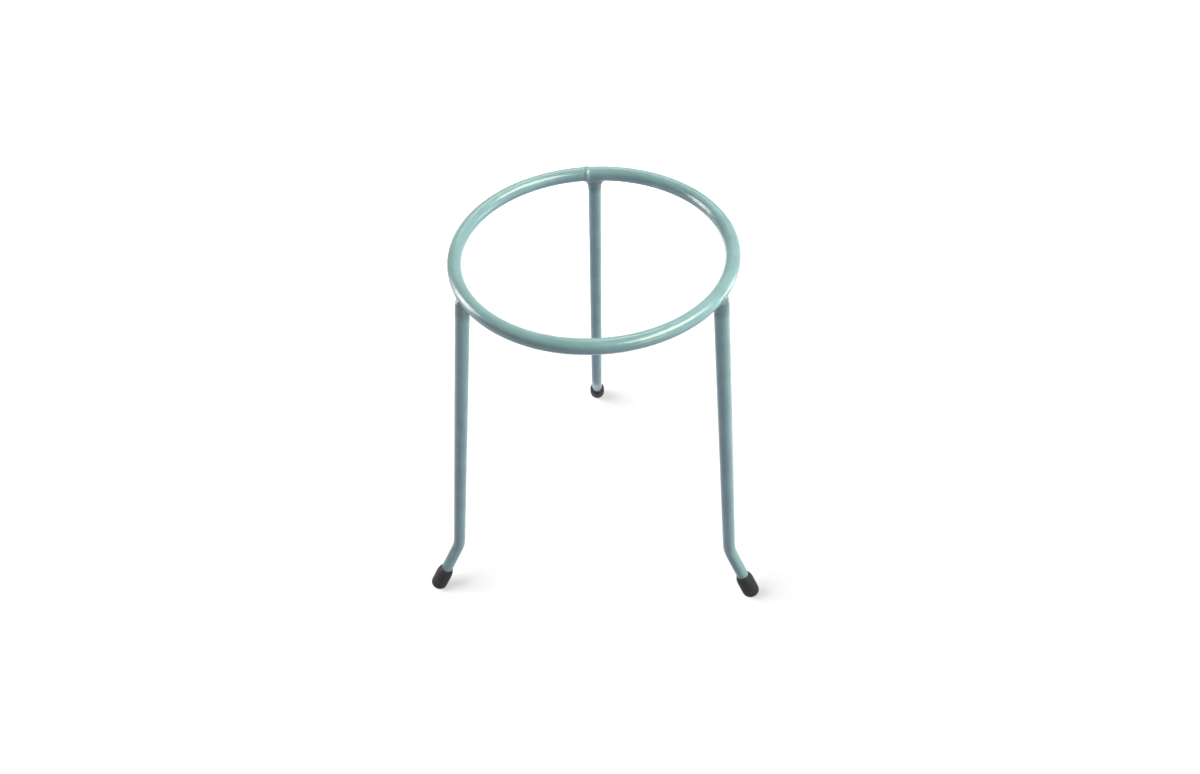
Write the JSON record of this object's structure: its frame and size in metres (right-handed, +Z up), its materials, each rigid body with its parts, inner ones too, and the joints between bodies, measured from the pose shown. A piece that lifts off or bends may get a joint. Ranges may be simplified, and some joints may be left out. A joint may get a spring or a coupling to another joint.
{
  "type": "lab tripod stand",
  "caption": "Welded round-bar tripod: a ring top on splayed legs with out-bent feet in rubber caps, for holding a dish or gauze over a burner.",
  "frame": {"origin": "on the floor that the caps stand on, under the centre of the ring", "axes": "+Z up along the ring's axis, +Y towards the back leg, +X to the right seen from the front"},
  "size_m": [0.19, 0.1715, 0.2003],
  "materials": {
    "enamel": "gloss",
    "cap_rubber": "matt"
  },
  "bodies": {
    "root": {"ring": "enamel", "ring_seam_weld": "enamel", "back_leg": "enamel", "left_leg": "enamel", "right_leg": "enamel", "back_leg_weld": "enamel", "left_leg_weld": "enamel", "right_leg_weld": "enamel", "back_foot_cap": "cap_rubber", "left_foot_cap": "cap_rubber", "right_foot_cap": "cap_rubber"}
  },
  "joints": []
}
